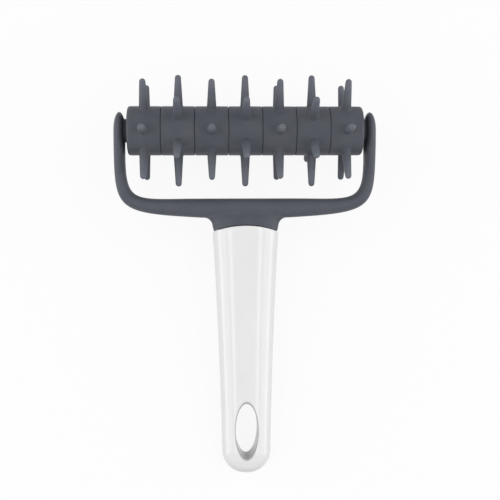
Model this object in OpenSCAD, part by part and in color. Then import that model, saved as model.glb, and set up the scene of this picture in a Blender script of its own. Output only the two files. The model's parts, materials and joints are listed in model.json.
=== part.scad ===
// Dough docker: a spiked roller that turns in a fork, with a handle pushed on the fork's tang.
// It lies as it is put down: on its spikes and on the end of the handle.
// X runs along the roller, +Y points away from the handle, and +Z is up.

/* [Spike rings] */
// Outer diameter of a ring's barrel
barrel_d = 22; // [20:0.5:24]
// Width of one ring along the shaft
ring_w = 15.05; // [13:0.05:17]
// Diameter over the spike tips
spike_circle_d = 50; // [44:0.5:56]
// Diameter of a spike where it leaves the barrel
spike_root_d = 4.3; // [3.2:0.1:5]
// Diameter of a spike's round tip
spike_tip_d = 2.8; // [1.8:0.1:3.2]
// Radius of the fillet round a spike's root
spike_fillet = 0.6; // [0.2:0.1:1]
// Rounding of the edges where two rings meet
seam_round = 0.35; // [0.15:0.05:0.7]
// Rounding of the two edges at the roller's ends
end_round = 1.1; // [0.4:0.1:1.6]
// Thickness of the outer wall of a ring
rim_wall = 2; // [1.7:0.1:2.4]
// Thickness of the web between wall and hub
web_t = 3; // [2:0.5:5]
// Diameter of the hub round the shaft
hub_d = 11.6; // [10.8:0.2:12.4]
// Turn of the roller as it lies, towards the handle
roller_turn = 2; // [0:1:6]

/* [Shaft] */
// Side of the shaft's square core
shaft_side = 6; // [5.4:0.1:6.4]
// Diameter of the journals at the shaft's ends
journal_d = 5; // [4:0.1:5.4]
// Length of a journal inside its socket
journal_len = 3.2; // [2.4:0.1:3.6]

/* [Fits] */
// Gap on each side between a ring's bore and the shaft
ring_fit = 0.1; // [0.05:0.01:0.2]
// Radial gap between a journal and its socket
journal_fit = 0.06; // [0.03:0.01:0.1]
// Gap between the roller's end and the boss, and behind the journal
end_play = 0.25; // [0.2:0.05:0.5]
// Width of the dark joint between neck and handle
joint_gap = 0.3; // [0.2:0.05:0.6]
// Gap between the tang and the inside of the handle
tang_fit = 0.35; // [0.3:0.05:0.6]

/* [Fork] */
// Room between the roller's end and the eye
eye_gap = 1.125; // [0.8:0.025:3]
// Diameter of the round eye at the end of an arm
eye_d = 16.8; // [15:0.2:20]
// Thickness of the eye
eye_t = 5.2; // [4.8:0.1:6.5]
// Thickness of the arm below the eye
arm_t = 5; // [4.2:0.1:6]
// Depth of the bar, square to the docker's plane
bar_depth = 9.6; // [8:0.2:12]
// Length over which the arm widens to the eye
eye_taper = 22; // [16:1:25]
// Diameter of the boss at its face
boss_d = 10; // [9:0.2:11]
// Diameter of the boss at the middle of the eye
boss_root_d = 12.6; // [11:0.2:14]
// Room between the spike tips and the bridge
spike_room = 5.45; // [5:0.05:12]
// Height of the bridge at its middle
bridge_h = 8.65; // [7:0.05:10]
// Radius of the fillets between bridge and neck
neck_fillet = 4; // [2.5:0.25:6]
// Length of the neck's sides below the bridge
neck_len = 6.45; // [5.5:0.05:10]
// Step from the handle's surface in to the neck's
neck_step = 0.4; // [0.1:0.05:0.8]
// Rise of the curved joint above the neck's sides
joint_rise = 2.75; // [1:0.05:4]
// Length of the tang inside the handle
tang_len = 55; // [30:1:60]
// Thickness of the tang's two crossed blades
tang_t = 3; // [2:0.1:3.2]

/* [Handle] */
// Length over all, from the front spikes to the handle's end
docker_len = 180; // [170:1:210]
// Width of the handle at the joint
handle_top_w = 29.6; // [26:0.2:32]
// Width of the handle near its end
handle_end_w = 21.8; // [20:0.2:24]
// Thickness of the handle at the joint
handle_top_t = 17.6; // [15:0.2:20]
// Thickness of the handle near its end
handle_end_t = 13.6; // [12:0.2:16]
// Length of the handle's round end
handle_round = 10.5; // [8:0.5:14]
// Wall of the hollow part
handle_wall = 2.4; // [1.8:0.1:3]
// Length of the hanging hole
hole_len = 24.8; // [20:0.2:28]
// Width of the hanging hole
hole_w = 10; // [8:0.2:11]
// Distance from the hole's middle to the handle's end
hole_inset = 20.1; // [19:0.1:26]
// Radius of the soft lip round the hole
hole_lip = 0.5; // [0.3:0.1:2]

/* [Hidden] */
RING_COUNT = 7;
SPIKES = 6;

grey = [0.33, 0.35, 0.39];
dark_grey = [0.25, 0.26, 0.29];
white = [0.93, 0.93, 0.93];

// Roller
barrel_r = barrel_d / 2;
tip_r = spike_tip_d / 2;
root_r = spike_root_d / 2;
tip_centre = spike_circle_d / 2 - tip_r;
roller_half = RING_COUNT * ring_w / 2;
fillet_steps = 5;
tip_steps = 6;
edge_steps = 4;
// How far a spike's fillet starts below the barrel's surface, so that it meets the round all the way
spike_sink = 0.3;
// Facets of the spikes, the rings, the shaft and the arc of the joint
spike_fn = 40;
ring_fn = 96;
shaft_fn = 64;
arc_fn = 128;
// Length by which a cut runs past the face that it opens
overcut = 1;

// Fork, right half, seen from above
boss_face = roller_half + end_play;
eye_in = roller_half + eye_gap;
eye_mid = eye_in + eye_t / 2;
fork_half = eye_in + eye_t;
bridge_top = -(spike_circle_d / 2 + spike_room);
bridge_low = bridge_top - bridge_h;
bridge_mid = (bridge_top + bridge_low) / 2;
joint_y = bridge_low - neck_len;
// Half the neck's width at the joint, and at the fillets, where it is wider by the flare
neck_side = handle_top_w / 2 - neck_step;
neck_flare = 0.5;
neck_half = neck_side + neck_flare;
// Straight stretch of the bridge between its corner curve and the neck's fillet
bridge_straight = 1;
fan_x = neck_half + neck_fillet + bridge_straight;
// Where the arm's curve towards the bridge starts
corner_y = -4.4;
// How far each corner curve holds to the arm's and the bridge's line
inner_hold = [1.135, 0.975];
outer_hold = [0.91, 1];
// How far the bridge's lower edge dips between the corner and the neck
outer_sag = 2.2;
// Roundness of every section: 2 is an ellipse, more is fuller
fullness = 2.2;
eye_steps = 7;
corner_steps = 18;
fan_steps = 8;
neck_steps = 12;
quarter_steps = 8;
// Angle of the neck's fillet at which the ribs turn from the bridge to the neck
neck_split = 70;
// Share of the neck's ribs that still end on the fillet
fillet_share = 1 / 3;
neck_end = joint_y - 2 * overcut;
// How fast the neck gains depth below the bridge's crest: 1 is steady, less is faster at first
neck_power = 0.45;
// Sharpness of the crease between bridge and neck
blend_power = 8;

// Handle, measured from the joint towards the end
handle_end = -(docker_len - spike_circle_d / 2);
handle_len = joint_y - handle_end;
width_power = 1.54;
depth_power = 1.2;
round_power = 2.1;
body_steps = 14;
round_steps = 9;
section_steps = 40;
lip_steps = 3;
hole_y = handle_end + hole_inset;
joint_r = ((handle_top_w / 2) ^ 2 + joint_rise ^ 2) / (2 * joint_rise);
joint_centre = joint_y + joint_rise - joint_r;
cavity_end = hole_y + hole_len / 2 + hole_lip + handle_wall;
// How far the tang's blades start inside the neck
tang_root = 1;
tang_start = joint_y + joint_rise + joint_gap + tang_root;
tang_end = max(joint_y - tang_len, cavity_end + tang_fit);
core_steps = 6;
// How far the lip of the hole ends below the crown of the handle
lip_drop = 0.5;
// Side of the block that squares off the handle in front of the joint
block = 2 * (joint_r + joint_rise + overcut);
eps = 0.01;

// Curves and sections

function bezier(p, t) =
    (1 - t) ^ 3 * p[0] + 3 * t * (1 - t) ^ 2 * p[1] + 3 * t ^ 2 * (1 - t) * p[2] + t ^ 3 * p[3];

function mix(a, b, t) = a + (b - a) * t;

function ease(t) = (1 - cos(180 * min(max(t, 0), 1))) / 2;

// A quarter of a rounded section: [share of the half width, share of the half depth]
function quarter(a) = [max(cos(a), 0) ^ (2 / fullness), max(sin(a), 0) ^ (2 / fullness)];

// A corner of the fork, from the arm at (x, corner_y) to the bridge at (fan_x, y)
function corner(x, y, hold, sag, t) =
    bezier([[x, corner_y],
            [x, corner_y - hold[0] * (corner_y - y)],
            [fan_x + hold[1] * (x - fan_x), y + sag],
            [fan_x, y]], t);

// Half depth of the arm: the eye's round, then a taper to the bar
function arm_depth(y) = mix(eye_d / 2, bar_depth / 2, ease(-y / eye_taper));

// The fillet beside the neck, by its angle from the bridge
function fillet_point(a) =
    [neck_half + neck_fillet * (1 - sin(a)), bridge_low - neck_fillet * (1 - cos(a))];

// A station of the right half: [inner edge, middle, outer edge, half depth]
eye_stations = [
    for (k = [0 : eye_steps])
        let (a = 90 * k / eye_steps, y = eye_d / 2 * cos(a), t = eye_t / 2 * sin(a))
        [[eye_mid - t, y], [eye_mid, y], [eye_mid + t, y], eye_d / 2 * sin(a)]];
corner_stations = [
    for (k = [0 : corner_steps])
        let (t = k / corner_steps,
             inner = corner(fork_half - arm_t, bridge_top, inner_hold, 0, t),
             outer = corner(fork_half, bridge_low, outer_hold, outer_sag, t),
             middle = (inner + outer) / 2)
        [inner, middle, outer, arm_depth(middle[1])]];
fan_stations = [
    for (k = [1 : fan_steps])
        let (t = k / fan_steps, x = fan_x * (1 - t))
        [[x, bridge_top], [x, bridge_mid], fillet_point(neck_split * t), bar_depth / 2]];
arm_stations = concat(eye_stations, corner_stations);
// A station of the neck, where the middle line runs down to the joint: [middle, outer edge]
neck_stations = [
    for (k = [1 : neck_steps])
        let (t = k / neck_steps,
             on_fillet = fillet_point(min(mix(neck_split, 90, t / fillet_share), 90)),
             down = max((t - fillet_share) / (1 - fillet_share), 0),
             y = mix(bridge_mid, neck_end, t))
        [[0, y], mix(on_fillet, [neck_side, neck_end], down)]];

// Points of one rib, from the edge in the docker's plane up to the middle line at full depth
function rib(middle, edge, depth) = [
    for (j = [0 : quarter_steps])
        let (q = quarter(90 * j / quarter_steps), p = mix(middle, edge, q[0]))
        [p[0], p[1], depth * q[1]]];

// Height of a rounded section, as a share of its half depth, at a share of its half width
function section_height(share) = max(1 - min(abs(share), 1) ^ fullness, 0) ^ (1 / fullness);

// Half width of the neck: along its fillets, then down its sides
function neck_half_w(y) =
    let (c = min(max(1 - (bridge_low - y) / neck_fillet, 0), 1),
         fillet_end = bridge_low - neck_fillet,
         down = min(max((fillet_end - y) / (fillet_end - joint_y), 0), 1))
    neck_half + neck_fillet * (1 - sqrt(1 - c ^ 2)) - neck_flare * down;

// Half depth of the neck on its middle line: none at the bridge's crest, near the handle's at the joint
function neck_half_t(y) =
    (handle_half_t(joint_y) - neck_step) * (max(bridge_mid - y, 0) / (bridge_mid - joint_y)) ^ neck_power;

// Height of the fork's face below the bridge's crest, where the bridge's section runs into the neck's
function face_height(p) =
    let (bridge = bar_depth / 2 * section_height(2 * (bridge_mid - p[1]) / bridge_h),
         neck = neck_half_t(p[1]) * section_height(p[0] / neck_half_w(p[1])))
    (bridge ^ blend_power + neck ^ blend_power) ^ (1 / blend_power);

// Points of one rib whose height is that of the face, and nothing at its edge
function face_rib(middle, edge) = [
    for (j = [0 : quarter_steps])
        let (q = quarter(90 * j / quarter_steps), p = mix(middle, edge, q[0]))
        [p[0], p[1], j == 0 ? 0 : face_height(p)]];

inner_ribs = [for (s = concat(arm_stations, fan_stations)) rib(s[1], s[0], s[3])];
outer_ribs = concat([for (s = arm_stations) rib(s[1], s[2], s[3])],
                    [for (s = fan_stations) face_rib(s[1], s[2])],
                    [for (s = neck_stations) face_rib(s[0], s[1])]);

// A patch of ribs as triangles, and its mirror images, as [points, faces]
function flat(rows) = [for (row = rows) each row];

function grid_faces(rows, cols, start, turned) = [
    for (i = [0 : rows - 2], j = [0 : cols - 2])
        let (a = start + i * cols + j, b = a + 1, c = a + cols + 1, d = a + cols)
        each (i == 0 ? (turned ? [[a, d, c]] : [[a, c, d]])
                     : (turned ? [[a, d, c], [a, c, b]] : [[a, c, d], [a, b, c]]))];

function mirrored(points, sx, sz) = [for (p = points) [sx * p[0], p[1], sz * p[2]]];

module fork_shell() {
    inner = flat(inner_ribs);
    outer = flat(outer_ribs);
    cols = quarter_steps + 1;
    cap = outer_ribs[len(outer_ribs) - 1];
    cap_front = concat(cap,
                       [for (j = [1 : quarter_steps]) let (p = cap[quarter_steps - j]) [-p[0], p[1], p[2]]]);
    cap_ring = concat(cap_front,
                      [for (j = [1 : 2 * quarter_steps - 1])
                          let (p = cap_front[2 * quarter_steps - j]) [p[0], p[1], -p[2]]]);
    sides = [[1, 1], [1, -1], [-1, 1], [-1, -1]];
    step = len(inner) + len(outer);
    points = concat([for (s = sides) each mirrored(concat(inner, outer), s[0], s[1])], cap_ring);
    faces = concat(
        [for (n = [0 : 3])
            let (turned = sides[n][0] * sides[n][1] > 0)
            each concat(grid_faces(len(inner_ribs), cols, n * step, !turned),
                        grid_faces(len(outer_ribs), cols, n * step + len(inner), turned))],
        [[for (j = [0 : len(cap_ring) - 1]) 4 * step + len(cap_ring) - 1 - j]]);
    polyhedron(points, faces);
}

// Handle sections

function handle_share(y) = max(1 - (joint_y - y) / handle_len, 0);

function handle_half_w(y) = mix(handle_end_w, handle_top_w, handle_share(y) ^ width_power) / 2;

function handle_half_t(y) = mix(handle_end_t, handle_top_t, handle_share(y) ^ depth_power) / 2;

function end_share(y) =
    let (u = max((handle_end + handle_round - y) / handle_round, 0))
    max(1 - u ^ round_power, 0) ^ (1 / round_power);

handle_stations = concat(
    [for (k = [0 : body_steps])
        mix(joint_y + joint_rise + overcut, handle_end + handle_round, k / body_steps)],
    [for (k = [1 : round_steps]) handle_end + handle_round * (1 - sin(90 * k / round_steps))]);
// [place along the handle, half width, half thickness]
handle_outline = [
    for (y = handle_stations) [y, handle_half_w(y) * end_share(y), handle_half_t(y) * end_share(y)]];

function oval(y, w, d) = [
    for (j = [0 : section_steps - 1])
        let (a = 360 * j / section_steps, c = cos(a), s = sin(a))
        [sign(c) * w * abs(c) ^ (2 / fullness), y, sign(s) * d * abs(s) ^ (2 / fullness)]];

// A closed body through sections of section_steps points, with flat ends or a last point as its tip
module loft(sections, tip = []) {
    rows = len(sections);
    n = section_steps;
    last = (rows - 1) * n;
    faces = concat(
        [for (i = [0 : rows - 2], j = [0 : n - 1])
            let (a = i * n + j, b = i * n + (j + 1) % n, c = b + n, d = a + n)
            each [[a, c, b], [a, d, c]]],
        [[for (j = [0 : n - 1]) j]],
        len(tip) > 0 ? [for (j = [0 : n - 1]) [last + j, rows * n, last + (j + 1) % n]]
                     : [[for (j = [0 : n - 1]) rows * n - 1 - j]]);
    polyhedron(concat(flat(sections), tip), faces);
}

// Where the docker lies: the handle drops until its end and the spikes touch the surface

function lowest_spike(tilt) = tip_centre * cos(tilt + roller_turn) + tip_r;

function lowest_handle(tilt) = max([for (s = handle_outline) s[2] * cos(tilt) - s[0] * sin(tilt)]);

// The tilt at which both touch, by n halvings of the range from low to high
function settle(low, high, n) =
    let (t = (low + high) / 2)
    n == 0 ? t : lowest_handle(t) < lowest_spike(t) ? settle(t, high, n - 1) : settle(low, t, n - 1);

halvings = 30;
tilt = settle(0, 90, halvings);
axis_z = lowest_spike(tilt);
front_reach = tip_centre * cos(tilt + roller_turn) + tip_r;
back_reach = max([for (s = handle_outline) s[2] * sin(tilt) - s[0] * cos(tilt)]);
axis_y = (back_reach - front_reach) / 2;

module lay() {
    translate([0, axis_y, axis_z]) rotate([tilt, 0, 0]) children();
}

// Turns a shape made round Z so that it lies round the roller's axis
module along_x() {
    rotate([0, 90, 0]) children();
}

// A spike along +X, from inside the barrel's wall to its round tip
module spike() {
    slope = atan((root_r - tip_r) / (tip_centre - barrel_r));
    base = barrel_r - spike_sink;
    rotate([0, 90, 0])
        rotate_extrude($fn = spike_fn)
            polygon(concat(
                [[0, barrel_r - rim_wall / 2], [root_r + spike_fillet, barrel_r - rim_wall / 2]],
                [for (k = [0 : fillet_steps])
                    let (a = 90 * k / fillet_steps)
                    [root_r + spike_fillet * (1 - sin(a)), base + spike_fillet * (1 - cos(a))]],
                [for (k = [0 : tip_steps])
                    let (a = mix(slope, 90, k / tip_steps))
                    [k == tip_steps ? 0 : tip_r * cos(a), tip_centre + tip_r * sin(a)]]));
}

// One ring round Z, with its edge roundings at the low and the high end
module ring_body(low_round, high_round) {
    half = ring_w / 2;
    pocket_r = barrel_r - rim_wall;
    low_edge = [for (k = [0 : edge_steps])
        let (a = 90 * k / edge_steps)
        [barrel_r - low_round * (1 - sin(a)), -half + low_round * (1 - cos(a))]];
    high_edge = [for (k = [0 : edge_steps])
        let (a = 90 * k / edge_steps)
        [barrel_r - high_round * (1 - cos(a)), half - high_round * (1 - sin(a))]];
    difference() {
        union() {
            rotate_extrude($fn = ring_fn)
                polygon(concat(
                    [[0, -half], [hub_d / 2, -half], [hub_d / 2, -web_t / 2],
                     [pocket_r, -web_t / 2], [pocket_r, -half]],
                    low_edge,
                    high_edge,
                    [[pocket_r, half], [pocket_r, web_t / 2],
                     [hub_d / 2, web_t / 2], [hub_d / 2, half], [0, half]]));
            for (k = [0 : SPIKES - 1])
                rotate([0, 0, 360 * k / SPIKES]) spike();
        }
        cube([shaft_side + 2 * ring_fit, shaft_side + 2 * ring_fit, ring_w + 2 * overcut], center = true);
    }
}

// Ring n of the roller, counted from the left; each second one is turned by a quarter on the square shaft
module spike_ring(n) {
    low = n == 1 ? end_round : seam_round;
    high = n == RING_COUNT ? end_round : seam_round;
    color(grey)
        lay()
            rotate([roller_turn, 0, 0])
                along_x()
                    translate([0, 0, (n - (RING_COUNT + 1) / 2) * ring_w])
                        rotate([0, 0, n % 2 == 0 ? 90 : 0])
                            ring_body(low, high);
}

module roller_shaft() {
    reach = boss_face + journal_len;
    color(dark_grey)
        lay()
            rotate([roller_turn, 0, 0])
                along_x()
                    union() {
                        cube([shaft_side, shaft_side, 2 * roller_half], center = true);
                        cylinder(h = 2 * reach, d = journal_d, center = true, $fn = shaft_fn);
                    }
}

// The low cone on the eye's inner face, and the blind hole in it for the journal
module boss() {
    translate([0, 0, boss_face])
        cylinder(h = eye_mid - boss_face, d1 = boss_d, d2 = boss_root_d, $fn = shaft_fn);
}

module socket() {
    translate([0, 0, boss_face - overcut])
        cylinder(h = journal_len + end_play + overcut, r = journal_d / 2 + journal_fit, $fn = shaft_fn);
}

// A flat blade that is symmetric about Y, with the given half widths at the places ys
module blade(half_widths, ys) {
    last = len(ys) - 1;
    linear_extrude(tang_t, center = true)
        polygon(concat([for (k = [0 : last]) [half_widths[k], ys[k]]],
                       [for (k = [0 : last]) [-half_widths[last - k], ys[last - k]]]));
}

// Two crossed blades that follow the inside of the handle
module tang() {
    ys = [for (k = [0 : core_steps]) mix(tang_start, tang_end, k / core_steps)];
    inset = handle_wall + tang_fit;
    blade([for (y = ys) handle_half_w(y) - inset], ys);
    rotate([0, -90, 0]) blade([for (y = ys) handle_half_t(y) - inset], ys);
}

module fork() {
    color(grey)
        lay()
            difference() {
                union() {
                    difference() {
                        fork_shell();
                        translate([0, joint_centre, 0])
                            cylinder(h = block, r = joint_r + joint_gap, center = true, $fn = arc_fn);
                    }
                    tang();
                    for (side = [0, 180])
                        rotate([0, 0, side]) along_x() boss();
                }
                for (side = [0, 180])
                    rotate([0, 0, side]) along_x() socket();
            }
}

// The hanging hole, straight in its middle and opening out at both faces
module hole_tool() {
    straight = handle_half_t(hole_y) - lip_drop - hole_lip;
    upper = concat([for (k = [0 : lip_steps])
                       let (a = 90 * k / lip_steps)
                       [straight + hole_lip * sin(a), hole_lip * (1 - cos(a))]],
                   [[handle_top_t, hole_lip]]);
    lower = [for (k = [0 : lip_steps + 1]) let (p = upper[lip_steps + 1 - k]) [-p[0], p[1]]];
    loft([for (p = concat(lower, upper))
        [for (j = [0 : section_steps - 1])
            let (a = 360 * j / section_steps)
            [(hole_w / 2 + p[1]) * cos(a), hole_y + (hole_len / 2 + p[1]) * sin(a), p[0]]]]);
}

module handle() {
    hollow = [for (k = [0 : core_steps])
        let (y = mix(joint_y + joint_rise + 2 * overcut, cavity_end, k / core_steps))
        oval(y, handle_half_w(y) - handle_wall, handle_half_t(y) - handle_wall)];
    color(white)
        lay()
            difference() {
                loft([for (s = handle_outline) if (s[1] > eps) oval(s[0], s[1], s[2])],
                     [[0, handle_end, 0]]);
                loft(hollow);
                difference() {
                    translate([-block / 2, joint_centre, -block / 2]) cube(block);
                    translate([0, joint_centre, 0])
                        cylinder(h = block, r = joint_r, center = true, $fn = arc_fn);
                }
                hole_tool();
            }
}

fork();
handle();
roller_shaft();
spike_ring(1);  // spike_ring_1
spike_ring(2);  // spike_ring_2
spike_ring(3);  // spike_ring_3
spike_ring(4);  // spike_ring_4
spike_ring(5);  // spike_ring_5
spike_ring(6);  // spike_ring_6
spike_ring(7);  // spike_ring_7
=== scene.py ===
# %% [markdown]
# # A dough docker
# A dough docker is a spiked roller that pricks rolled-out dough, so that it bakes flat.
# Seven ring mouldings sit on one square shaft, the shaft turns in the eyes of a grey fork,
# and a white handle is pushed on the fork's tang.
# The measured model comes in as a fixed frame. This script gives every piece that shows a finer
# surface and a finish, and it lights and frames the docker as in a plain product picture.

# %% Load the measured model
import json
import math

import bmesh
import bpy
import numpy as np
from mathutils import Matrix, Vector


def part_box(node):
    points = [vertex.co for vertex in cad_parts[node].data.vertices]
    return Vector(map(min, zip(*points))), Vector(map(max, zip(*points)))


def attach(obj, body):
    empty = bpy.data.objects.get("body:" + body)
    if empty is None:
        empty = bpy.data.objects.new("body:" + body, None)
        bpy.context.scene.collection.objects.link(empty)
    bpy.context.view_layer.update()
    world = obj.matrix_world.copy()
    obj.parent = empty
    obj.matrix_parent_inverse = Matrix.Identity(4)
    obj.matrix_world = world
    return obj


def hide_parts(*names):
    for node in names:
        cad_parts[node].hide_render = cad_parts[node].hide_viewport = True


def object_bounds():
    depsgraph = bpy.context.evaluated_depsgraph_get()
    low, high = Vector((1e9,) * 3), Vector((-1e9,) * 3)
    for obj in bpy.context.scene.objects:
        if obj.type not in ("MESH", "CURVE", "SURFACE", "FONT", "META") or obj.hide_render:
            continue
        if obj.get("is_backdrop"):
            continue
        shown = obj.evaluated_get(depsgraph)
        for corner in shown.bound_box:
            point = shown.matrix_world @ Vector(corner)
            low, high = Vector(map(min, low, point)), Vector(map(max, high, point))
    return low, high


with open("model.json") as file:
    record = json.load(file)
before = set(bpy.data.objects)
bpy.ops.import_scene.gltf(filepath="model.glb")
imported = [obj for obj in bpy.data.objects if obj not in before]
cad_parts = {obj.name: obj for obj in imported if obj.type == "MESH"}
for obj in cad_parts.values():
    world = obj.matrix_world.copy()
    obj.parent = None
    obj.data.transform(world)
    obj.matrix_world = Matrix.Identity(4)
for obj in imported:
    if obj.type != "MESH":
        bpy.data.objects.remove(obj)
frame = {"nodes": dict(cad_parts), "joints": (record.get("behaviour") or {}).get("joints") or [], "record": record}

cad_low, cad_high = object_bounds()
print("nodes:", ", ".join(sorted(frame["nodes"])))
print("model box in mm:", [round(1000 * (high - low), 1) for low, high in zip(cad_low, cad_high)])

# %% [markdown]
# ## The docker's own frame
# The docker lies on its spikes and on the end of its handle, so it is tilted by a few degrees.
# Shapes are easier to write in the docker's own frame: X along the roller, Y away from the handle,
# Z square to both, in millimetres, with the origin on the roller's axis. The joint gives that
# origin and the axis of the hanging hole gives the tilt, so nothing is fitted by eye. The sizes in
# the cells below are the driving sizes of the measured model, and widths that the model already
# holds are read from its boxes.

# %% From the docker's own frame to the model's frame
MM = 0.001
axle_m = np.array(frame["joints"][0]["pos_m"], float)
hole_axis = next(m for m in frame["record"]["mounts"] if m["name"] == "hang_hole")["axis"]
tilt = math.atan2(-hole_axis[1], hole_axis[2])
tilt_matrix = np.array([[1, 0, 0],
                        [0, math.cos(tilt), -math.sin(tilt)],
                        [0, math.sin(tilt), math.cos(tilt)]])


def to_model(points):
    """A point turned by the tilt about X, scaled to metres and moved by the axle's place."""
    return points @ tilt_matrix.T * MM + axle_m


print("tilt in degrees:", round(math.degrees(tilt), 3))

# %% [markdown]
# ## From formulas to meshes
# Modifiers on simple solids would be quicker to write, but every fillet and outline would only be
# close to the measured one. So every piece is made of patches. A patch is a grid of points worked
# out with whole arrays, and neighbouring patches share the points of their common edge. One helper
# stacks the patches, joins points that coincide, which also closes the seams and the poles, and
# turns the faces outwards. Another makes the faces smooth and keeps the sharp edges.


# %% Shares of a way
def mix(a, b, t):
    """The value a share t of the way from a to b."""
    return a + (b - a) * t


def steps(count):
    """Shares of the way, in count equal steps up to 1, without the 0."""
    return np.linspace(0, 1, count + 1)[1:]


print("four steps:", steps(4).tolist())

# %% From patches to a mesh
# Edges that turn more than this stay crisp, and points nearer than this in metres become one
SHARP = math.radians(32)
WELD = 1e-7


def grid_quads(rows, cols, start, closed):
    """Corner numbers of a grid's quads: (i, j), (i, j+1), (i+1, j+1), (i+1, j)."""
    number = start + np.arange(rows * cols).reshape(rows, cols)
    if closed:
        number = np.hstack([number, number[:, :1]])
    return np.stack([number[:-1, :-1], number[:-1, 1:], number[1:, 1:], number[1:, :-1]], -1).reshape(-1, 4)


def make_mesh(name, patches):
    """An object from (points, closed) patches in the docker's frame, welded, with its faces outwards."""
    points = np.concatenate([p.reshape(-1, 3) for p, _ in patches])
    starts = np.cumsum([0] + [p.shape[0] * p.shape[1] for p, _ in patches])
    quads = np.concatenate([grid_quads(p.shape[0], p.shape[1], s, closed)
                            for (p, closed), s in zip(patches, starts)])
    mesh = bpy.data.meshes.new(name)
    mesh.from_pydata(to_model(points).tolist(), [], quads.tolist())
    shape = bmesh.new()
    shape.from_mesh(mesh)
    bmesh.ops.remove_doubles(shape, verts=shape.verts, dist=WELD)
    bmesh.ops.recalc_face_normals(shape, faces=shape.faces)
    open_edges = sum(len(e.link_faces) != 2 for e in shape.edges)
    shape.to_mesh(mesh)
    shape.free()
    obj = bpy.data.objects.new(name, mesh)
    bpy.context.scene.collection.objects.link(obj)
    print(f"{name}: {len(mesh.polygons)} faces, {open_edges} open edges")
    return obj


def finish_shading(obj, material):
    """Smooth faces, with the edges over the SHARP angle kept crisp, and the material."""
    obj.data.shade_smooth()
    obj.data.set_sharp_from_angle(angle=SHARP)
    obj.data.materials.clear()
    obj.data.materials.append(material)


# %% [markdown]
# ## Finishes
# The grey parts are satin plastic from a spark-eroded mould: a very fine grain, a colour that
# drifts a little between bluish and neutral, and a gloss that varies softly. A plain colour would
# look like paper, so noise on Object coordinates drives the colour, the roughness and the bump.
# Object coordinates stay with the piece when it turns. One function makes the finish of all grey
# parts, so that they look as if they came from one batch of plastic.


# %% Helpers for materials
PLASTIC_IOR = 1.5


class Finish:
    """A material with its node tree, and short ways to add and link nodes."""

    def __init__(self, name, roughness):
        """The roughness is the shader's own, until a pattern feeds it."""
        self.material = bpy.data.materials.new(name)
        self.material.use_nodes = True
        self.tree = self.material.node_tree
        self.shader = self.tree.nodes["Principled BSDF"]
        self.shader.inputs["Roughness"].default_value = roughness
        self.shader.inputs["IOR"].default_value = PLASTIC_IOR
        self.place = self.add("ShaderNodeTexCoord").outputs["Object"]

    def add(self, kind, settings=(), operation=None, **links):
        """A new node. settings are (socket, value) pairs and links feed sockets by name."""
        node = self.tree.nodes.new(kind)
        if operation:
            node.operation = operation
        for socket, value in settings:
            node.inputs[socket].default_value = value
        for socket, source in links.items():
            self.tree.links.new(source, node.inputs[socket])
        return node

    def noise(self, scale, detail, vector=None):
        """Noise between 0 and 1: scale waves to a metre, with detail finer layers over them."""
        node = self.add("ShaderNodeTexNoise", [("Scale", scale), ("Detail", detail)])
        self.tree.links.new(vector or self.place, node.inputs["Vector"])
        return node.outputs["Fac"]

    def ramp(self, value, stops):
        """A colour ramp between two (position, colour) stops."""
        node = self.add("ShaderNodeValToRGB", Fac=value)
        for stop, (position, colour) in zip(node.color_ramp.elements, stops):
            stop.position = position
            stop.color = (*colour, 1)
        return node.outputs["Color"]

    def scaled(self, colour, factor):
        """A colour times a factor."""
        node = self.add("ShaderNodeVectorMath", operation="SCALE", Vector=colour, Scale=factor)
        return node.outputs["Vector"]

    def spread(self, value, low, high, source=(0.3, 0.7)):
        """Maps a value's source range evenly to low..high. The usual source is the middle of a noise."""
        node = self.add("ShaderNodeMapRange", Value=value)
        for socket, number in zip(("From Min", "From Max", "To Min", "To Max"), (*source, low, high)):
            node.inputs[socket].default_value = number
        return node.outputs["Result"]

    def bump(self, height, depth, under=None):
        """A bump of that depth in metres, laid over another bump if one is given."""
        node = self.add("ShaderNodeBump", [("Strength", 1.0), ("Distance", depth)], Height=height)
        if under:
            self.tree.links.new(under, node.inputs["Normal"])
        return node.outputs["Normal"]

    def link(self, source, socket):
        """Feeds one socket of the shader."""
        self.tree.links.new(source, self.shader.inputs[socket])


# %% Satin grey plastic
# The specular level, which for a polished plastic is 0.5, and the range of the roughness
SATIN_GLOSS = 0.15
satin_rough = (0.4, 0.5)
# Waves to a metre of the drift in colour and in gloss, and of the coarse and the fine grain
COLOUR_DRIFT, GLOSS_DRIFT, COARSE_GRAIN, FINE_GRAIN = 140, 420, 900, 5200
# The coarse grain's height as a share of the fine grain's, and the height of a parting line
COARSE_SHARE = 0.8
parting_height = 0.03 * MM


def satin_plastic(name, dark, light, grain_depth, painted_light=None, parting=None):
    """Colour between dark and light by broad noise, times any painted light, grain from fine noise, and a faint
    parting line.
    """
    f = Finish(name, 0.5)
    f.shader.inputs["Specular IOR Level"].default_value = SATIN_GLOSS
    colour = f.ramp(f.noise(COLOUR_DRIFT, 3), [(0.32, dark), (0.68, light)])
    # Painted light, where it is given, scales the colour
    if painted_light:
        colour = f.scaled(colour, painted_light(f))
    f.link(colour, "Base Color")
    f.link(f.spread(f.noise(GLOSS_DRIFT, 4), *satin_rough), "Roughness")
    normal = f.bump(f.noise(FINE_GRAIN, 2), grain_depth)
    normal = f.bump(f.noise(COARSE_GRAIN, 3), grain_depth * COARSE_SHARE, normal)
    if parting:
        normal = f.bump(parting(f), parting_height, normal)
    f.link(normal, "Normal")
    return f.material


print("the grey's grain:", FINE_GRAIN, "and", COARSE_GRAIN, "waves to a metre")
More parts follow.
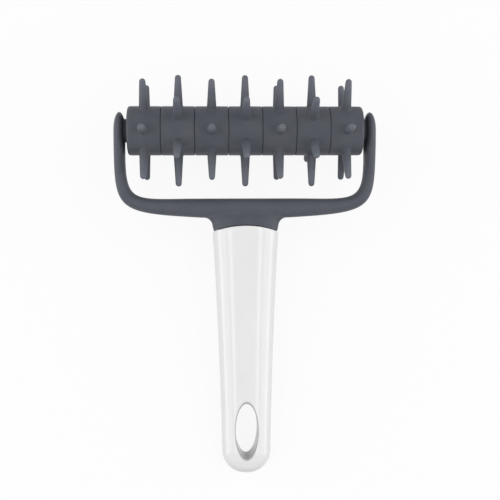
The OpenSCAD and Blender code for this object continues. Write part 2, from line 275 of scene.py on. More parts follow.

# %% [markdown]
# ## Spike rings
# A ring is a barrel with six spikes. Turning a spike as a cone and pushing it into a cylinder
# would leave a hard seam, but the moulding has a small fillet there. So each sixth of the barrel
# is one polar grid: it starts at the spike's tip, runs down the side, turns through the fillet
# and spreads over the barrel until it meets the straight borders of its sector. The spikes get
# painted light, a paler grey than the barrel, for the light from all round that reaches these thin
# pins, and a faint parting line runs round the middle of every ring, where the mould's halves met.

# %% Sizes of the roller
# All rings are as wide as the middle one
ring_low, ring_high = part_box("spike_ring_4")
ring_w = (ring_high[0] - ring_low[0]) / MM
ring_count = sum(name.startswith("spike_ring") for name in frame["nodes"])
# Degrees that the whole roller is turned at rest
roller_turn = 2.0
# Barrel: its radius, the edge's rounding at a seam and at the roller's ends, and each ring's share of a seam
barrel_r = 11.0
seam_round, end_round, seam_gap = 0.35, 1.1, 0.08
# Spikes: their number, the circle of their tips, the radius at tip and root, and the fillet at the root
spikes = 6
spike_circle_r = 25
tip_r, root_r, spike_fillet = 1.4, 2.15, 0.6
tip_centre = spike_circle_r - tip_r
# Inside: the pocket's radius, its draft, half the web, the hub's radius and half the square bore
pocket_r, pocket_draft, web_half, hub_r, bore_half = 9.0, 0.15, 1.5, 5.8, 3.1
print("ring width:", round(ring_w, 3), "mm, rings:", ring_count)

# %% The rings' finish
# How much paler the painted light makes a spike, and the distances from the axle between which it does
SPIKE_PALER = 1.55
paler_from, paler_to = 11.5 * MM, 22 * MM
# Half the parting line's width at its top and at its foot
parting_top, parting_foot = 0.04 * MM, 0.22 * MM


def painted_spike_light(f):
    """Painted light on the thin spikes, paler than the barrel: 1 on the barrel, more with the distance from the
    axle.
    """
    from_axle = f.add("ShaderNodeVectorMath", [(1, axle_m.tolist())], "SUBTRACT", Vector=f.place)
    across = f.add("ShaderNodeVectorMath", [(1, (0, 1, 1))], "MULTIPLY", Vector=from_axle.outputs["Vector"])
    radius = f.add("ShaderNodeVectorMath", operation="LENGTH", Vector=across.outputs["Vector"])
    return f.spread(radius.outputs["Value"], 1, SPIKE_PALER, (paler_from, paler_to))


def ring_parting(f):
    """A ridge in the middle plane of every ring: the distance to the nearest plane, from X alone."""
    split = f.add("ShaderNodeSeparateXYZ", Vector=f.place)
    wave = f.add("ShaderNodeMath", [(1, ring_w * MM / 2)], "PINGPONG", Value=split.outputs["X"])
    return f.spread(wave.outputs["Value"], 1, 0, (parting_top, parting_foot))


# The rings' colour carries the spikes' painted light
grey_rings = satin_plastic("satin_grey_rings", (0.092, 0.100, 0.121), (0.108, 0.113, 0.132),
                           0.016 * MM, painted_spike_light, ring_parting)
print("finish of the rings:", grey_rings.name)

# %% One sector of a ring, from the spike's tip to the sector's border
# Faces along a sector's border: round the barrel and along the axis. Rows: on each part of the way down
ARC_COUNT, AXIS_COUNT = 16, 16
TIP_ROWS, SIDE_ROWS, FILLET_ROWS, BARREL_ROWS = 5, 8, 5, 7


def sector_border(x_low, x_high):
    """The border as (x, angle) pairs round the rectangle x_low..x_high by -30..30 degrees."""
    half = np.pi / spikes
    along = np.arange(AXIS_COUNT) / AXIS_COUNT
    around = np.arange(ARC_COUNT) / ARC_COUNT
    x = np.concatenate([mix(x_low, x_high, along), np.full(ARC_COUNT, x_high),
                        mix(x_high, x_low, along), np.full(ARC_COUNT, x_low)])
    angle = np.concatenate([np.full(AXIS_COUNT, -half), mix(-half, half, around),
                            np.full(AXIS_COUNT, half), mix(half, -half, around)])
    return x, angle


def sector_rows(x_low, x_high):
    """Rows of (x, across, out) points. Tip: a hemisphere. Side: a cone. Fillet: a quarter circle laid
    on the barrel. Barrel: a straight blend in (x, angle) from the fillet's foot to the border."""
    border_x, border_angle = sector_border(x_low, x_high)
    way = np.arctan2(barrel_r * border_angle, border_x)[None, :]
    slope = math.atan((root_r - tip_r) / (tip_centre - barrel_r))

    def on_barrel(distance):
        """The barrel's height at a distance: the root of radius squared less the way across squared."""
        return np.sqrt(barrel_r ** 2 - (distance * np.sin(way)) ** 2)

    a = np.linspace(np.pi / 2, slope, TIP_ROWS + 1)[:, None]
    tip = (tip_r * np.cos(a) + 0 * way, tip_centre + tip_r * np.sin(a) + 0 * way)
    foot = root_r - spike_fillet * math.tan(slope)
    s = steps(SIDE_ROWS)[:, None]
    side = (mix(tip[0][-1:], foot, s), mix(tip[1][-1:], on_barrel(foot) + spike_fillet, s))
    a = np.linspace(0, np.pi / 2, FILLET_ROWS + 1)[1:, None]
    distance = foot + spike_fillet * (1 - np.cos(a)) + 0 * way
    fillet = (distance, on_barrel(distance) + spike_fillet * (1 - np.sin(a)))
    distance, out = (np.concatenate(rows) for rows in zip(tip, side, fillet))
    spike = np.stack([distance * np.cos(way), distance * np.sin(way), out], -1)
    last = spike[-1]
    s = steps(BARREL_ROWS)[:, None]
    x = mix(last[:, 0], border_x, s)
    angle = mix(np.arcsin(last[:, 1] / barrel_r), border_angle, s)
    barrel = np.stack([x, barrel_r * np.sin(angle), barrel_r * np.cos(angle)], -1)
    return np.concatenate([spike, barrel])


def about_x(points, degrees):
    """(x, across, out) points turned about the roller's axis."""
    c, s = math.cos(math.radians(degrees)), math.sin(math.radians(degrees))
    return points @ np.array([[1, 0, 0], [0, c, -s], [0, s, c]]).T


# %% The ends of a ring, its pockets and its square bore
EDGE_ROWS = 4


def side_profile(half, edge_round, side):
    """(x, radius) from the barrel's edge over its rounding, down the pocket, up the hub to its face."""
    a = np.linspace(0, np.pi / 2, EDGE_ROWS + 1)
    x = np.concatenate([half - edge_round * (1 - np.sin(a)), [half, web_half, web_half, half]])
    r = np.concatenate([barrel_r - edge_round * (1 - np.cos(a)),
                        [pocket_r, pocket_r - pocket_draft, hub_r + pocket_draft, hub_r]])
    return side * x, r


def ring_sides(low_round, high_round):
    """Both side profiles turned round the axis, joined through a bore whose radius at an angle is
    half the square's side over the larger of the angle's cosine and sine."""
    half = ring_w / 2 - seam_gap
    angle = np.radians(-180 / spikes) + 2 * np.pi * np.arange(spikes * ARC_COUNT) / (spikes * ARC_COUNT)
    bore = bore_half / np.maximum(np.abs(np.cos(angle)), np.abs(np.sin(angle)))
    high_x, high_r = side_profile(half, high_round, 1)
    low_x, low_r = side_profile(half, low_round, -1)
    x = np.concatenate([high_x, [half, -half], low_x[::-1]])[:, None] + 0 * angle
    r = np.concatenate([high_r[:, None] + 0 * angle, bore[None], bore[None], low_r[::-1, None] + 0 * angle])
    return np.stack([x, r * np.sin(angle), r * np.cos(angle)], -1)


# %% Build the seven rings
for n in range(1, ring_count + 1):
    low_round = end_round if n == 1 else seam_round
    high_round = end_round if n == ring_count else seam_round
    rows = sector_rows(-ring_w / 2 + seam_gap + low_round, ring_w / 2 - seam_gap - high_round)
    turn = roller_turn + (90 if n % 2 == 0 else 0)
    middle = np.array([(n - (ring_count + 1) / 2) * ring_w, 0, 0])
    patches = [(about_x(rows, turn + 360 / spikes * k) + middle, True) for k in range(spikes)]
    patches.append((about_x(ring_sides(low_round, high_round), turn) + middle, True))
    ring = make_mesh(f"ring_{n}", patches)
    finish_shading(ring, grey_rings)
    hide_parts(f"spike_ring_{n}")
    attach(ring, "roller")

# %% [markdown]
# ## Shaft
# The shaft hides inside the rings, and only its journals come near the light. Its measured
# surfaces are already right, so it keeps them and gets a matt finish.

# %% Finish the shaft
grey_shaft = satin_plastic("matt_grey_shaft", (0.050, 0.053, 0.062), (0.062, 0.064, 0.074), 0.012 * MM)
shaft = frame["nodes"]["roller_shaft"]
shaft.data.materials.clear()
shaft.data.materials.append(grey_shaft)
print("shaft finish:", shaft.data.materials[0].name)

# %% [markdown]
# ## Fork
# The fork's bar has an oval section that thickens to a round eye at each arm's end and swells
# into the neck. It could be modelled with a subdivision cage, but then its outline would only be
# close. Here ribs run from a line in the middle of the bar to the inner and to the outer outline.
# Each rib is a quarter of a full oval, so the surface is smooth over the crest and the outline is
# exact. One quarter of the fork is worked out and mirrored. The neck ends in an arc that meets the
# handle. On the real docker the two are pressed together, so the thin gap nearly closes at the
# sides, where it would let light through.

# %% Sizes of the fork
fork_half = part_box("fork")[1][0] / MM
roller_half = ring_count * ring_w / 2
# Along X: the roller's play at an eye, and the places of the eye's inner face and of its middle
eye_play = 1.125
eye_in = roller_half + eye_play
eye_mid = (eye_in + fork_half) / 2
# The eye's radius, the arm's width, half the bar's depth, and the length over which one becomes the other
eye_r, arm_t, bar_half, eye_taper = 8.4, 5.0, 4.8, 22.0
# The bridge's two edges in Y, the Y where the arms begin to curve, and how far their curves hold out
bridge_top, bridge_low = -30.45, -39.1
bridge_mid = (bridge_top + bridge_low) / 2
corner_y = -4.4
inner_hold, outer_hold, outer_sag = (1.135, 0.975), (0.91, 1), 2.2
print("fork half width:", round(fork_half, 2), "mm")

# %% Sizes of the neck and of its joint with the handle
# Half the handle's width and half its thickness at the joint
top_half_w, top_half_t = 14.8, 8.8
# The joint: its Y at the sides and its rise in the middle, and the gap in the middle and at the sides
joint_y, joint_rise = -45.55, 2.75
joint_gap, joint_side_gap, gap_power = 0.3, 0.08, 4
joint_r = (top_half_w ** 2 + joint_rise ** 2) / (2 * joint_rise)
joint_centre = joint_y + joint_rise - joint_r
# The neck: a step smaller than the handle at the joint, wider at its root, and its fillet there
neck_step, neck_spread, neck_fillet = 0.4, 0.5, 4.0
neck_side, neck_half_t = top_half_w - neck_step, top_half_t - neck_step
neck_half = neck_side + neck_spread
# Where the bridge begins to fan out into the neck
fan_margin = 1
fan_x = neck_half + neck_fillet + fan_margin
print("radius of the joint's arc:", round(joint_r, 1), "mm")

# %% The full oval of all sections
# Its power: 2 is an ellipse, and more is fuller
fullness = 2.2


def quarter(count):
    """A quarter of a full oval: cosine and sine of the angle, each to the power 2 / fullness."""
    a = np.linspace(0, np.pi / 2, count + 1)
    return np.clip(np.cos(a), 0, 1) ** (2 / fullness), np.clip(np.sin(a), 0, 1) ** (2 / fullness)


def oval_height(share, power=fullness):
    """Height of a full oval at a share of its half width: (1 - |share|^power)^(1 / power)."""
    return np.clip(1 - np.clip(np.abs(share), 0, 1) ** power, 0, 1) ** (1 / power)


# %% Stations along the fork's right half
# Steps: round the eye by its angle, then in shares along the corner, the fan and the neck
EYE_STEPS, CORNER_STEPS, FAN_STEPS, NECK_STEPS = 21, 55, 17, 21
eye_a = np.linspace(0, np.pi / 2, EYE_STEPS + 1)
corner_t, fan_t, neck_t = steps(CORNER_STEPS), steps(FAN_STEPS), steps(NECK_STEPS)
# The fan takes this many degrees of the neck's fillet, and this share of the neck's ribs takes the rest
NECK_SPLIT = 70
FILLET_SHARE = 1 / 3
print("steps from the eye to the joint:", EYE_STEPS + CORNER_STEPS + FAN_STEPS + NECK_STEPS)


# %% Curves of the fork's outlines
def bezier(p, t):
    """A cubic curve: the four points weighted by (1-t)^3, 3t(1-t)^2, 3t^2(1-t) and t^3."""
    p, t = np.asarray(p, float), np.asarray(t)[:, None]
    return ((1 - t) ** 3 * p[0] + 3 * t * (1 - t) ** 2 * p[1]
            + 3 * t ** 2 * (1 - t) * p[2] + t ** 3 * p[3])


def corner(x, y, hold, sag, t):
    """The cubic curve from the arm at (x, corner_y) to the bridge at (fan_x, y)."""
    return bezier([[x, corner_y], [x, corner_y - hold[0] * (corner_y - y)],
                   [fan_x + hold[1] * (x - fan_x), y + sag], [fan_x, y]], t)


def fillet_point(degrees):
    """The fillet beside the neck, by its angle from the bridge: a quarter circle whose X goes with
    one less the sine and whose Y goes with one less the cosine."""
    a = np.radians(degrees)
    return np.stack([neck_half + neck_fillet * (1 - np.sin(a)),
                     bridge_low - neck_fillet * (1 - np.cos(a))], -1)


def pairs(x, y):
    """Points (x, y) from two values or arrays, of which one may be a single number."""
    return np.stack(np.broadcast_arrays(np.asarray(x, float), np.asarray(y, float)), -1)


def arc_y(x, radius):
    """Y on a circle about (0, joint_centre): the root of the radius squared less x squared."""
    return joint_centre + np.sqrt(radius ** 2 - x ** 2)


def neck_end_y(x):
    """The neck's end: the joint's circle grown by the gap, which narrows with a power of x."""
    return arc_y(x, joint_r + mix(joint_gap, joint_side_gap, (x / neck_side) ** gap_power))


# %% The fork's inner and outer edge, its middle line and its depth
def ease(t):
    """Half a cosine wave from 0 to 1, flat at both ends."""
    return (1 - np.cos(np.pi * np.clip(t, 0, 1))) / 2


inner_corner = corner(fork_half - arm_t, bridge_top, inner_hold, 0, corner_t)
outer_corner = corner(fork_half, bridge_low, outer_hold, outer_sag, corner_t)
eye_y, eye_half_t = eye_r * np.cos(eye_a), (fork_half - eye_in) / 2 * np.sin(eye_a)
fan_line = fan_x * (1 - fan_t)
inner_edge = np.concatenate([pairs(eye_mid - eye_half_t, eye_y), inner_corner, pairs(fan_line, bridge_top)])
outer_edge = np.concatenate([pairs(eye_mid + eye_half_t, eye_y), outer_corner,
                             fillet_point(NECK_SPLIT * fan_t)])
middle_line = np.concatenate([pairs(eye_mid, eye_y), (inner_corner + outer_corner) / 2,
                              pairs(fan_line, bridge_mid)])
corner_line_y = middle_line[len(eye_a):len(eye_a) + CORNER_STEPS, 1]
corner_depth = mix(eye_r, bar_half, ease(-corner_line_y / eye_taper))
bar_depth = np.concatenate([eye_r * np.sin(eye_a), corner_depth, np.full(FAN_STEPS, bar_half)])
print("stations along half the fork:", len(bar_depth))

# %% Height of the face where the bridge runs into the neck
# The power by which the neck gets deeper towards the joint, and the power of the blend
neck_power, blend_power = 0.45, 8


def neck_half_w(y):
    """Half the neck's width: the quarter circle of its fillets, then straight down its sides."""
    c = np.clip(1 - (bridge_low - y) / neck_fillet, 0, 1)
    down = np.clip((bridge_low - neck_fillet - y) / (bridge_low - neck_fillet - joint_y), 0, 1)
    return neck_half + neck_fillet * (1 - np.sqrt(1 - c ** 2)) + (neck_side - neck_half) * down


def face_height(x, y):
    """The bridge's height and the neck's, both to a high power, added, and the root taken: the larger
    of the two, with a soft crease where they are equal."""
    bridge = bar_half * oval_height((bridge_mid - y) / (bridge_mid - bridge_low))
    depth = neck_half_t * (np.clip(bridge_mid - y, 0, None) / (bridge_mid - joint_y)) ** neck_power
    neck = depth * oval_height(x / neck_half_w(y))
    return (bridge ** blend_power + neck ** blend_power) ** (1 / blend_power)


# %% Ribs of the bar and of the neck
RIB_COUNT = 20


def ribs(middle, edge, depth):
    """From the edge to the middle line: the place by the oval's cosine, the height by its sine."""
    along, up = quarter(RIB_COUNT)
    place = mix(middle[:, None], edge[:, None], along[None, :, None])
    return np.concatenate([place, (depth[:, None] * up)[..., None]], -1)


def face_ribs(x, y):
    """Ribs with the face's height, and none at their edge."""
    z = face_height(x, y)
    z[:, 0] = 0
    return np.stack([x, y, z], -1)


def neck_ribs(end_round_r=0.35, lip_rows=5):
    """Ribs across the neck. Their middle runs down to the joint, their ends run down the fillet and
    the side, and their shape turns from straight to the joint's arc. A small rounding ends them."""
    along, _ = quarter(RIB_COUNT)
    side_end = np.array([neck_side, neck_end_y(neck_side) + end_round_r])
    down = np.clip((neck_t - FILLET_SHARE) / (1 - FILLET_SHARE), 0, 1)
    on_fillet = fillet_point(np.minimum(mix(NECK_SPLIT, 90, neck_t / FILLET_SHARE), 90))
    edge = mix(on_fillet, side_end, down[:, None])
    middle_y = mix(bridge_mid, neck_end_y(0) + end_round_r, neck_t)
    x = edge[:, :1] * along
    straight = mix(middle_y[:, None], edge[:, 1:], along)
    drop = (neck_end_y(0) - neck_end_y(x)) / (neck_end_y(0) - neck_end_y(edge[:, :1]))
    curved = mix(middle_y[:, None], edge[:, 1:], drop)
    body = face_ribs(x, mix(straight, curved, down[:, None]))
    a = np.linspace(0, np.pi / 2, lip_rows + 1)[1:, None]
    inset = end_round_r * (1 - np.cos(a))
    lip_x = (neck_side - inset) * along
    lip_z = body[-1, :, 2] * (1 - inset / body[-1, -1, 2])
    lip = np.stack([lip_x, neck_end_y(lip_x) + end_round_r * (1 - np.sin(a)), lip_z], -1)
    return np.concatenate([body, lip])


def mirrored(patch, x=1, z=1):
    """A patch with X or Z multiplied by -1."""
    return patch * np.array([x, 1, z])


# %% Build the fork's outside
grey_fork = satin_plastic("satin_grey_fork", (0.093, 0.101, 0.122), (0.108, 0.113, 0.134), 0.010 * MM)
inner_ribs = ribs(middle_line, inner_edge, bar_depth)
outer_ribs = ribs(middle_line, outer_edge, bar_depth)
# Where the bridge fans out, the height comes from the blended face
outer_ribs[-FAN_STEPS:] = face_ribs(*np.moveaxis(outer_ribs[-FAN_STEPS:, :, :2], -1, 0))
outer_ribs = np.concatenate([outer_ribs, neck_ribs()])
neck_end = np.stack([outer_ribs[-1], mirrored(outer_ribs[-1], z=-1)])
fork_patches = [(mirrored(p, x, z), False)
                for p in (inner_ribs, outer_ribs) for x in (1, -1) for z in (1, -1)]
fork_patches += [(mirrored(neck_end, x), False) for x in (1, -1)]
fork_piece = make_mesh("fork_body", fork_patches)

# %% [markdown]
# ## Bosses, sockets and tang
# On each eye's inner face stands a low cone with a blind socket for the journal, and inside the
# handle the neck runs on as two crossed blades. They are plain turned and flat shapes, so they
# are made as closed meshes and joined to the fork by booleans. As separate shells the bosses and
# blades would look the same, but the sockets have to be cut out of the fork. The cuts lie where
# they should, but along them a few points coincide without being joined.


# %% Closed helper shapes and the booleans
def turned(name, profile, side, count=64):
    """A profile of (x, radius) points turned about X: the radius times the angle's cosine and sine.
    Its two ends lie on the axis, where the points join to poles."""
    angle = 2 * np.pi * np.arange(count) / count
    x, r = (np.array(v, float)[:, None] for v in zip(*profile))
    shell = np.stack([side * x + 0 * angle, r * np.cos(angle), r * np.sin(angle)], -1)
    return make_mesh(name, [(shell, True)])


def blade(name, half_widths, ys, upright):
    """A blade of constant thickness: a box whose sides follow half_widths at the places ys."""
    turns = np.array([[1, -1], [1, 1], [-1, 1], [-1, -1]])
    wide, thick = half_widths[:, None] * turns[:, 0], tang_half * turns[:, 1] + 0 * half_widths[:, None]
    y = ys[:, None] + 0 * wide
    sides = np.stack([thick, y, wide] if upright else [wide, y, thick], -1)
    ends = [np.stack([sides[i, :2], sides[i, [3, 2]]]) for i in (0, -1)]
    return make_mesh(name, [(sides, True), (ends[0], False), (ends[1], False)])


def join(target, tool, operation):
    """Applies one boolean to the target and removes the tool."""
    modifier = target.modifiers.new(operation, "BOOLEAN")
    modifier.operation, modifier.solver, modifier.object = operation, "EXACT", tool
    result = bpy.data.meshes.new_from_object(target.evaluated_get(bpy.context.evaluated_depsgraph_get()))
    target.modifiers.clear()
    target.data = result
    bpy.data.objects.remove(tool)


# %% The handle's taper and the blades that fit into it
# The handle's end: its Y, half width and half thickness, and the powers of the curves up to the joint
handle_end, end_half_w, end_half_t = -155.0, 10.9, 6.8
width_power, depth_power = 1.54, 1.2
handle_wall = 2.4
# The blades: half their thickness, how far in the neck they start, their end, and the gap round them
tang_half, tang_root, tang_end, tang_gap = 1.5, 1.0, -100.55, 0.35


def handle_share(y):
    """The share of the way from the handle's end to the joint, by Y."""
    return np.clip(1 - (joint_y - y) / (joint_y - handle_end), 0, None)


def half_w(y):
    """Half the handle's width: from the end's to the joint's by a power of the share."""
    return mix(end_half_w, top_half_w, handle_share(y) ** width_power)


def half_t(y):
    """Half the handle's thickness: likewise, with a power of its own."""
    return mix(end_half_t, top_half_t, handle_share(y) ** depth_power)


def blade_half(handle_half, top_half, y):
    """Half a blade's width: the handle's own half at y, less its wall and the tang's gap."""
    return np.minimum(handle_half(y), top_half) - handle_wall - tang_gap


# %% Join the tang, the bosses and the sockets
# The deep blade is a little narrower than its gap asks, so that it slides in
TANG_ROWS = 8
deep_ease = 0.05
# The roller's play at a boss, the boss's radius at its face and at its root, and the journal's socket
boss_play, boss_r, boss_root_r = 0.25, 5.0, 6.3
socket_r, socket_depth, socket_lead = 2.56, 3.45, 1
boss_face = roller_half + boss_play
tang_y = np.linspace(joint_y + joint_rise + joint_gap + tang_root, tang_end, TANG_ROWS + 1)
socket_start, socket_end = boss_face - socket_lead, boss_face + socket_depth
boss_profile = [(boss_face, 0), (boss_face, boss_r), (eye_mid, boss_root_r), (eye_mid, 0)]
socket_profile = [(socket_start, 0), (socket_start, socket_r), (socket_end, socket_r), (socket_end, 0)]
wide_half = blade_half(half_w, top_half_w, tang_y)
deep_half = blade_half(half_t, top_half_t, tang_y) - deep_ease
join(fork_piece, blade("wide_blade", wide_half, tang_y, False), "UNION")
join(fork_piece, blade("deep_blade", deep_half, tang_y, True), "UNION")
for side in (1, -1):
    join(fork_piece, turned("boss", boss_profile, side), "UNION")
    join(fork_piece, turned("socket", socket_profile, side), "DIFFERENCE")
finish_shading(fork_piece, grey_fork)
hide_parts("fork")
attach(fork_piece, "frame")
print("fork with bosses, sockets and tang:", len(fork_piece.data.polygons), "faces")

# %% [markdown]
# ## Handle
# The handle is a long taper with an oval section, a rounded end and a hanging hole with a soft
# lip. Cutting the hole with a boolean would leave a hard rim in a polished surface, where every
# fault shows. So the upper part is a plain loft, and round the hole the grid turns polar: rays
# run from the lip to the outline, and their height comes from the same surface formula. The finish
# is polished white plastic: low roughness, a faint waviness from the mould and hairline scuffs. The
# wall of the hole gets painted shade: its white is darkened for the shade inside the recess.

# %% Sizes of the round end, the hollow and the hanging hole
handle_round, round_power = 10.5, 2.1
cavity_end = -119.6
hole_from_end = 20.1
hole_y = handle_end + hole_from_end
hole_half_w, hole_half_len, hole_lip = 5.0, 12.4, 0.5
print("hole in mm:", 2 * hole_half_w, "by", 2 * hole_half_len)

# %% Polished white plastic
# Painted shade on the hole's wall, and the distances in half widths of the hole between which it fades out
HOLE_PAINTED_SHADE = 0.42
hole_shade = (1.03, 1.11)
# Waves to a metre: the drift in colour, the mould's broad waves, the fine waves and the streaks
WHITE_DRIFT, BROAD_WAVES, FINE_WAVES, STREAKS = 60, 90, 1800, 1400
BROAD_HEIGHT, FINE_HEIGHT = 0.01 * MM, 0.0015 * MM
# Streaks and broad waves are drawn out along the handle by one over this
STREAK_STRETCH = 0.05
# The range of the roughness, and the grey levels between which the white drifts
polish_rough = (0.12, 0.18)
white_low, white_high = (0.87,) * 3, (0.89,) * 3


def painted_hole_shade(f):
    """Painted shade: the white of the hole's wall is darkened for the shade in the recess. The distance
    from the hole's axis along X over the hole's half width, and along the handle over its half length, gives 1 at
    the wall."""
    middle = to_model(np.array([0, hole_y, 0]))
    along_handle = tilt_matrix[:, 1]
    from_middle = f.add("ShaderNodeVectorMath", [(1, middle.tolist())], "SUBTRACT", Vector=f.place)
    axes = [(np.array([1, 0, 0]), hole_half_w), (along_handle, hole_half_len)]
    parts = [f.add("ShaderNodeVectorMath", [(1, (way / (half * MM)).tolist())], "DOT_PRODUCT",
                   Vector=from_middle.outputs["Vector"]).outputs["Value"] for way, half in axes]
    both = f.add("ShaderNodeCombineXYZ", X=parts[0], Y=parts[1])
    distance = f.add("ShaderNodeVectorMath", operation="LENGTH", Vector=both.outputs["Vector"])
    return f.spread(distance.outputs["Value"], HOLE_PAINTED_SHADE, 1, hole_shade)


def polished_plastic(name):
    """White with a slight drift and painted shade on the hole's wall, broad waves in the surface, and roughness
    streaked along the handle.
    """
    f = Finish(name, 0.16)
    colour = f.ramp(f.noise(WHITE_DRIFT, 2), [(0.35, white_low), (0.65, white_high)])
    # The hole's wall gets painted shade: a darker white
    f.link(f.scaled(colour, painted_hole_shade(f)), "Base Color")
    stretch = f.add("ShaderNodeMapping", [("Scale", (1.0, STREAK_STRETCH, 1.0))], Vector=f.place)
    streaks = f.noise(STREAKS, 4, stretch.outputs["Vector"])
    f.link(f.spread(streaks, *polish_rough), "Roughness")
    waves = f.bump(f.noise(BROAD_WAVES, 1, stretch.outputs["Vector"]), BROAD_HEIGHT)
    f.link(f.bump(f.noise(FINE_WAVES, 2), FINE_HEIGHT, waves), "Normal")
    return f.material


white_handle = polished_plastic("polished_white_handle")
print("finish of the handle:", white_handle.name)

# %% The handle's surface
# Points along a quarter of the oval, and a share that keeps a division from zero at the tip
QUARTER = 24
TINY = 1e-9
# The polar patch reaches as far above the hole's middle as the handle's end lies below it
hole_reach = hole_y - handle_end
patch_y = hole_y + hole_reach


def end_share(y):
    """1 along the handle, and down to 0 over the round end as the height of a full oval."""
    u = np.clip((handle_end + handle_round - y) / handle_round, 0, 1)
    return oval_height(u, round_power)


def surface_z(x, y):
    """Half the thickness at y times the oval's height at x over half the width."""
    share = np.maximum(end_share(y), TINY)
    return half_t(y) * share * oval_height(x / (half_w(y) * share))


along, up = quarter(QUARTER)
oval_x = np.concatenate([along, -along[-2::-1], -along[1:], along[-2:0:-1]])
oval_z = np.concatenate([up, up[-2::-1], -up[1:], -up[-2:0:-1]])
print("points round the handle:", len(oval_x))


# %% Loft from the joint to the hole, with the rounded edge, the wall and the hollow
def handle_rows(edge_r=0.3, bend_len=12.0, edge_rows=5, loft_rows=60, hollow_rows=12, crowding=1.15):
    """Rows of the oval. Near the joint they bend to its arc, by a square that fades over bend_len,
    and lie closer together, by a power of their share of the way."""
    a = np.linspace(np.pi / 2, 0, edge_rows + 1)[:-1, None]
    inset = edge_r * (1 - np.cos(a))
    lip_x = (top_half_w - inset) * oval_x
    lip_z = (top_half_t - inset) * oval_z
    lip = np.stack([lip_x, arc_y(lip_x, joint_r) - edge_r * (1 - np.sin(a)), lip_z], -1)
    start = arc_y(0, joint_r) - edge_r
    level = mix(start, patch_y, np.linspace(0, 1, loft_rows) ** crowding)[:, None]
    fade = np.clip(1 - (start - level) / bend_len, 0, 1) ** 2
    guess = top_half_w * oval_x
    y = level + (arc_y(guess, joint_r) - arc_y(0, joint_r)) * fade
    w, t = (mix(f(y), f(np.float64(joint_y)), fade) for f in (half_w, half_t))
    outside = np.stack([w * oval_x, y, t * oval_z], -1)
    inner_y = mix(joint_y + joint_rise, cavity_end, np.linspace(0, 1, hollow_rows))[:, None]
    fade = np.clip(1 - (joint_y + joint_rise - inner_y) / bend_len, 0, 1) ** 2
    inner_w = np.minimum(half_w(inner_y), top_half_w) - handle_wall
    inner_t = np.minimum(half_t(inner_y), top_half_t) - handle_wall
    inner_x = inner_w * oval_x
    inside = np.stack([inner_x, inner_y + (arc_y(inner_x, joint_r) - arc_y(0, joint_r)) * fade,
                       inner_t * oval_z], -1)
    floor_point = np.broadcast_to([0, cavity_end, 0], inside[-1:].shape)
    return np.concatenate([floor_point, inside[::-1], lip, outside])


# %% Polar patch round the hanging hole
def hole_rows(lip_rows=6, ray_rows=22, outline_count=144):
    """Front half, from the middle of the hole's wall over the lip to the outline.
    Lip: a quarter circle that leaves the surface and turns down into the wall.
    Rays: straight in plan from the lip to the border, dense near the outline."""
    across = half_w(patch_y) * oval_x[:2 * QUARTER + 1]
    a = np.linspace(np.pi / 2, 5 * np.pi / 2, outline_count + 1)[1:-1]
    y = np.clip(hole_y + hole_reach * np.sin(a), handle_end, None)
    side_x = np.sign(np.cos(a)) * half_w(y) * end_share(y)
    border = np.concatenate([pairs(across, patch_y), pairs(side_x, y)])
    way = np.arctan2((border[:, 1] - hole_y) / hole_reach, border[:, 0] / half_w(np.float64(hole_y)))

    def rim(offset):
        """The hole's oval, grown by the offset."""
        return np.stack([(hole_half_w + offset) * np.cos(way),
                         hole_y + (hole_half_len + offset) * np.sin(way)], -1)

    a = np.linspace(np.pi / 2, 0, lip_rows + 1)[:, None]
    plan = rim(hole_lip * (1 - np.sin(a)))
    lip_z = surface_z(plan[..., 0], plan[..., 1]) - hole_lip * (1 - np.cos(a))
    lip = np.concatenate([plan, lip_z[..., None]], -1)
    s = np.sin(np.linspace(0, np.pi / 2, ray_rows + 1))[1:, None, None] ** (2 / fullness)
    plan = mix(lip[-1][None, :, :2], border[None], s)
    rays = np.concatenate([plan, surface_z(plan[..., 0], plan[..., 1])[..., None]], -1)
    wall = lip[0] * np.array([1, 1, 0])
    return np.concatenate([wall[None], lip, rays])


front = hole_rows()
handle_piece = make_mesh("handle_body", [(handle_rows(), True), (front, True), (mirrored(front, z=-1), True)])
finish_shading(handle_piece, white_handle)
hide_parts("handle")
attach(handle_piece, "frame")

# %% [markdown]
# ## Floor and light
# The docker lies on a plain white floor. To the camera the floor is mostly plain white, with a
# part that still takes light, so that it keeps the docker's soft shadow. Three long soft boxes
# stand at each side, one above the other. They give the handle its bright lines and leave the
# bar's upper and lower edges darker. A weak one faces the handle's end, and an even light from
# all round fills the rest.


# %% Floor
def seen_ray(tree):
    """1 for a ray of the camera, of a gloss or through glass, which see the background, otherwise 0."""
    path = tree.nodes.new("ShaderNodeLightPath")
    seen = path.outputs["Is Camera Ray"]
    for kind in ("Is Glossy Ray", "Is Transmission Ray"):
        either = tree.nodes.new("ShaderNodeMath")
        either.operation = "MAXIMUM"
        tree.links.new(seen, either.inputs[0])
        tree.links.new(path.outputs[kind], either.inputs[1])
        seen = either.outputs["Value"]
    return seen


def white_floor(shade_share=0.1, seen_albedo=0.95, bounce_albedo=0.2):
    """To the camera, mirrors and glass mostly an even white of strength 1, and for the rest a white
    that takes the shadow. To the light that it throws back on the docker it is grey."""
    f = Finish("white_floor", 0.9)
    nodes, links = f.tree.nodes, f.tree.links
    seen = seen_ray(f.tree)
    f.link(f.spread(seen, bounce_albedo, seen_albedo, (0, 1)), "Base Color")
    f.shader.inputs["Specular IOR Level"].default_value = 0
    white = nodes.new("ShaderNodeEmission")
    white.inputs["Strength"].default_value = 1.0
    shown = nodes.new("ShaderNodeMixShader")
    links.new(f.shader.outputs["BSDF"], shown.inputs[1])
    links.new(white.outputs["Emission"], shown.inputs[2])
    links.new(f.spread(seen, 0, 1 - shade_share, (0, 1)), shown.inputs["Fac"])
    links.new(shown.outputs["Shader"], nodes["Material Output"].inputs["Surface"])
    return f.material


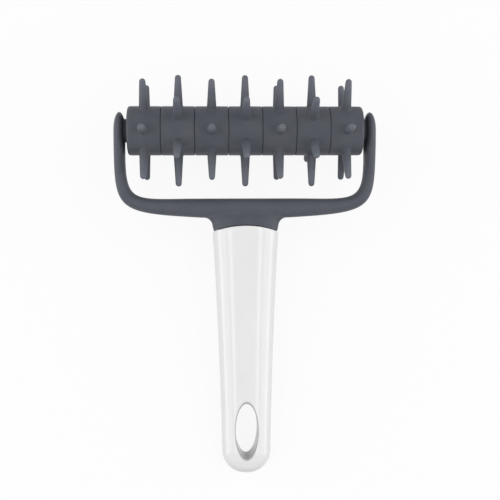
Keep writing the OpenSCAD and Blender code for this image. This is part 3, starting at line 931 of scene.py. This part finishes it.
floor_half = 3.0
floor_mesh = bpy.data.meshes.new("floor")
floor_corners = [(-floor_half, -floor_half, 0), (floor_half, -floor_half, 0),
                 (floor_half, floor_half, 0), (-floor_half, floor_half, 0)]
floor_mesh.from_pydata(floor_corners, [], [(0, 1, 2, 3)])
floor = bpy.data.objects.new("floor", floor_mesh)
floor.data.materials.append(white_floor())
bpy.context.scene.collection.objects.link(floor)
floor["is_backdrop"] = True

# %% Lights
# The lamps look at the middle of the docker, as high as its axle
look_at = Vector((0, 0, float(axle_m[2])))


def soft_box(name, place, size, power):
    """A rectangular lamp at a place, turned to the docker."""
    lamp = bpy.data.lights.new(name, "AREA")
    lamp.shape = "RECTANGLE"
    lamp.size, lamp.size_y = size
    lamp.energy = power
    obj = bpy.data.objects.new(name, lamp)
    obj.location = place
    obj.rotation_euler = (look_at - Vector(place)).to_track_quat("-Z", "Y").to_euler()
    bpy.context.scene.collection.objects.link(obj)


# The pairs at the sides: name, degrees above the floor, height in metres and power in watts
LAMP_DISTANCE, LAMP_LEN = 0.8, 0.9
side_lamps = [("high_strip", 60, 0.12, 0.85), ("side_panel", 27, 0.55, 1.8), ("low_panel", 14, 0.25, 1.1)]
for side in (-1, 1):
    for name, degrees, height, power in side_lamps:
        rise = math.radians(degrees)
        place = (side * LAMP_DISTANCE * math.cos(rise), 0, LAMP_DISTANCE * math.sin(rise))
        soft_box(name, place, (LAMP_LEN, height), power)
soft_box("handle_end_box", place=(0, -0.85, 0.2), size=(0.6, 0.12), power=0.3)

# %% World
FILL = 0.45
world = bpy.data.worlds.new("studio")
bpy.context.scene.world = world
world.use_nodes = True
level = world.node_tree.nodes.new("ShaderNodeMapRange")
world.node_tree.links.new(seen_ray(world.node_tree), level.inputs["Value"])
level.inputs["To Min"].default_value = FILL
level.inputs["To Max"].default_value = 1.0
background = world.node_tree.nodes["Background"]
background.inputs["Color"].default_value = (1, 1, 1, 1)
world.node_tree.links.new(level.outputs["Result"], background.inputs["Strength"])
print("strength of the world as a light:", FILL)

# %% [markdown]
# ## Camera
# The printed sizes and the measured outlines fix the camera: it stands about 400 mm away, nearly
# square to the docker's plane, a little to the left and over the neck. It is written in the
# docker's own frame and turned with the tilt.

# %% Camera
# The place in millimetres, and the degrees turned about Z, Y and X
camera_place = np.array([-15.1, -43.6, 403.0])
yaw, sway, nod = 0.28, 2.43, 1.45
FOCAL_PIXELS, IMAGE_PIXELS, SENSOR_MM = 890, 500, 36
lens = bpy.data.cameras.new("camera")
lens.sensor_width = SENSOR_MM
lens.lens = SENSOR_MM * FOCAL_PIXELS / IMAGE_PIXELS
camera = bpy.data.objects.new("camera", lens)
view_turn = (Matrix.Rotation(math.radians(yaw), 3, "Z") @ Matrix.Rotation(math.radians(sway), 3, "Y")
             @ Matrix.Rotation(math.radians(nod), 3, "X"))
camera.matrix_world = (Matrix.Translation(to_model(camera_place[None])[0].tolist())
                       @ (Matrix(tilt_matrix.tolist()) @ view_turn.transposed()).to_4x4())
bpy.context.scene.collection.objects.link(camera)
bpy.context.scene.camera = camera
bpy.context.scene.view_settings.view_transform = "Standard"
print("lens:", round(lens.lens, 2), "mm, place:", [round(v, 4) for v in camera.location])

# %% [markdown]
# ## The size
# The dressed docker should fill the same box as the measured one, so the change of the box is printed.

# %% Print the change of the box and finish
new_low, new_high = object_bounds()
changes = np.subtract([*new_low, *new_high], [*cad_low, *cad_high]) / MM
print("size change in mm:", changes.round(2).tolist())
